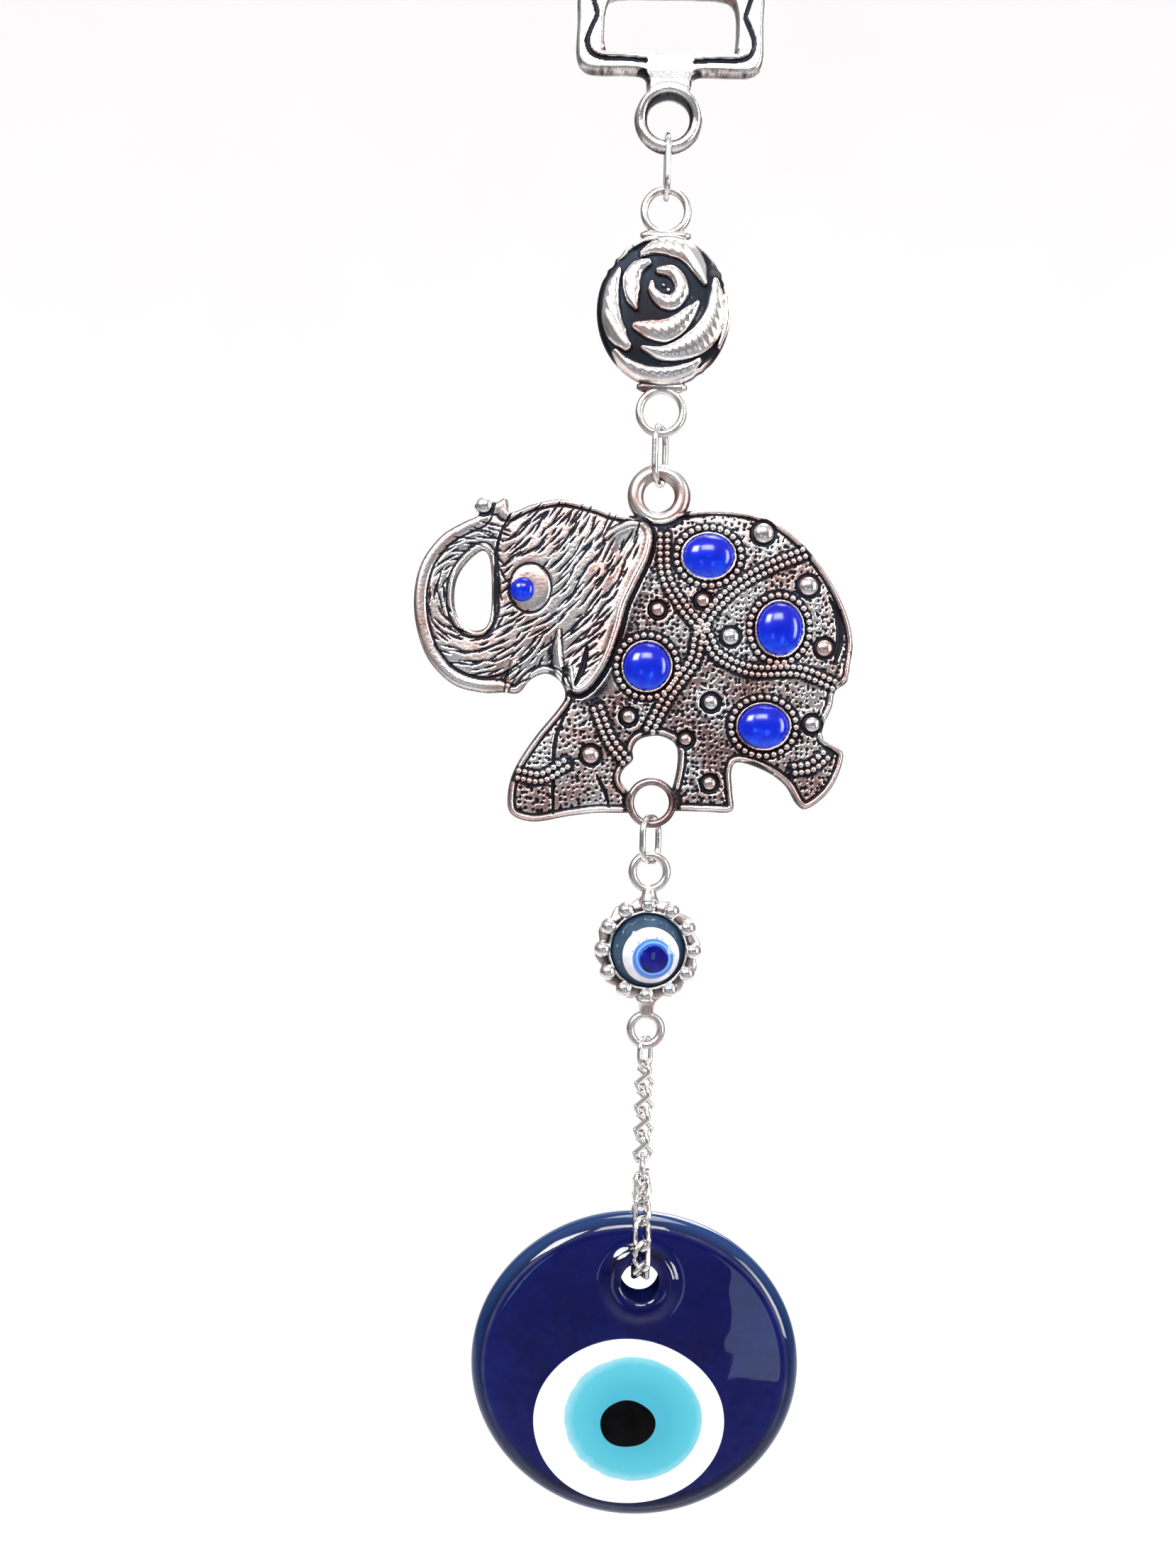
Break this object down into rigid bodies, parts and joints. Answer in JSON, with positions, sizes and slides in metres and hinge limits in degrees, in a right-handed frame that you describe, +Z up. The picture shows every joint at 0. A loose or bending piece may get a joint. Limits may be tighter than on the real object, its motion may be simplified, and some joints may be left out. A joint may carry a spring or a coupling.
{
  "type": "evil eye wall ornament",
  "caption": "Hanging good luck ornament: a cast strap hanger, a rose, a jewelled elephant and an eye charm above a chain that carries a blue glass eye.",
  "frame": {"origin": "middle of the hanger slot's upper edge, where a strap or hook carries the ornament", "axes": "+Z up along the plumb line, -Y out of the decorated front, +X to the right seen from the front"},
  "size_m": [0.0682, 0.0146, 0.2384],
  "materials": {
    "cast_silver": "antiqued silver plate over zinc, black in the recesses",
    "plated_wire": "bright nickel plate",
    "blue_stone": "polished",
    "charm_glass": "polished",
    "charm_white": "polished",
    "charm_blue": "polished",
    "charm_dark": "polished",
    "cobalt_glass": "fire polished",
    "white_glass": "fire polished",
    "turquoise_glass": "fire polished",
    "black_glass": "fire polished"
  },
  "bodies": {
    "hanger": {"hanger_frame": "cast_silver"},
    "jump_link_1": {"jump_link_1": "plated_wire"},
    "rose": {"rose_connector": "cast_silver"},
    "jump_link_2": {"jump_link_2": "plated_wire"},
    "elephant": {"elephant_plate": "cast_silver", "eye_stone": "blue_stone", "back_stone": "blue_stone", "rump_stone": "blue_stone", "shoulder_stone": "blue_stone", "thigh_stone": "blue_stone"},
    "jump_link_3": {"jump_link_3": "plated_wire"},
    "eye_charm": {"charm_bezel": "cast_silver", "charm_dome": "charm_glass", "charm_white": "charm_white", "charm_iris": "charm_blue", "charm_pupil": "charm_dark"},
    "jump_link_4": {"jump_link_4": "plated_wire"},
    "chain_link_1": {"chain_link_1": "plated_wire"},
    "chain_link_2": {"chain_link_2": "plated_wire"},
    "chain_link_3": {"chain_link_3": "plated_wire"},
    "chain_link_4": {"chain_link_4": "plated_wire"},
    "sling": {"sling_ring": "plated_wire", "sling_link_1": "plated_wire", "sling_link_2": "plated_wire", "sling_link_3": "plated_wire", "sling_link_4": "plated_wire", "sling_link_5": "plated_wire", "sling_link_6": "plated_wire", "sling_link_7": "plated_wire", "sling_link_8": "plated_wire", "sling_link_9": "plated_wire", "sling_link_10": "plated_wire", "sling_link_11": "plated_wire"},
    "glass_eye": {"glass_disc": "cobalt_glass", "glass_white": "white_glass", "glass_iris": "turquoise_glass", "glass_pupil": "black_glass"}
  },
  "joints": [
    {"name": "link_1_swing", "type": "hinge", "parent": "hanger", "child": "jump_link_1", "pos_m": [0, 0, -0.02303], "axis": [1, 0, 0], "range_deg": [-60, 60]},
    {"name": "rose_swing", "type": "hinge", "parent": "jump_link_1", "child": "rose", "pos_m": [0, 0, -0.03078], "axis": [0, 1, 0], "range_deg": [-45, 45]},
    {"name": "link_2_swing", "type": "hinge", "parent": "rose", "child": "jump_link_2", "pos_m": [0, 0, -0.06738], "axis": [-1, 0, 0], "range_deg": [-55, 55]},
    {"name": "elephant_swing", "type": "hinge", "parent": "jump_link_2", "child": "elephant", "pos_m": [0, 0, -0.07529], "axis": [-0.342, -0.9397, 0], "range_deg": [-40, 40]},
    {"name": "link_3_swing", "type": "hinge", "parent": "elephant", "child": "jump_link_3", "pos_m": [0, 0, -0.12796], "axis": [1, 0, 0], "range_deg": [-50, 50]},
    {"name": "charm_swing", "type": "hinge", "parent": "jump_link_3", "child": "eye_charm", "pos_m": [0, 0, -0.134], "axis": [0.5, 0.866, 0], "range_deg": [-45, 45]},
    {"name": "link_4_swing", "type": "hinge", "parent": "eye_charm", "child": "jump_link_4", "pos_m": [0, 0, -0.16223], "axis": [-1, 0, 0], "range_deg": [-50, 50]},
    {"name": "chain_1_swing", "type": "hinge", "parent": "jump_link_4", "child": "chain_link_1", "pos_m": [0, 0, -0.1654], "axis": [0, -1, 0], "range_deg": [-30, 30]},
    {"name": "chain_2_swing", "type": "hinge", "parent": "chain_link_1", "child": "chain_link_2", "pos_m": [0, 0, -0.169], "axis": [1, 0, 0], "range_deg": [-30, 30]},
    {"name": "chain_3_swing", "type": "hinge", "parent": "chain_link_2", "child": "chain_link_3", "pos_m": [0, 0, -0.17261], "axis": [0, 1, 0], "range_deg": [-30, 30]},
    {"name": "chain_4_swing", "type": "hinge", "parent": "chain_link_3", "child": "chain_link_4", "pos_m": [0, 0, -0.17621], "axis": [-1, 0, 0], "range_deg": [-30, 30]},
    {"name": "sling_swing", "type": "hinge", "parent": "chain_link_4", "child": "sling", "pos_m": [0, 0, -0.1798], "axis": [1, 0, 0], "range_deg": [-25, 25]},
    {"name": "glass_swing", "type": "hinge", "parent": "sling", "child": "glass_eye", "pos_m": [0, 0, -0.19811], "axis": [0, -1, 0], "range_deg": [-30, 30]}
  ]
}
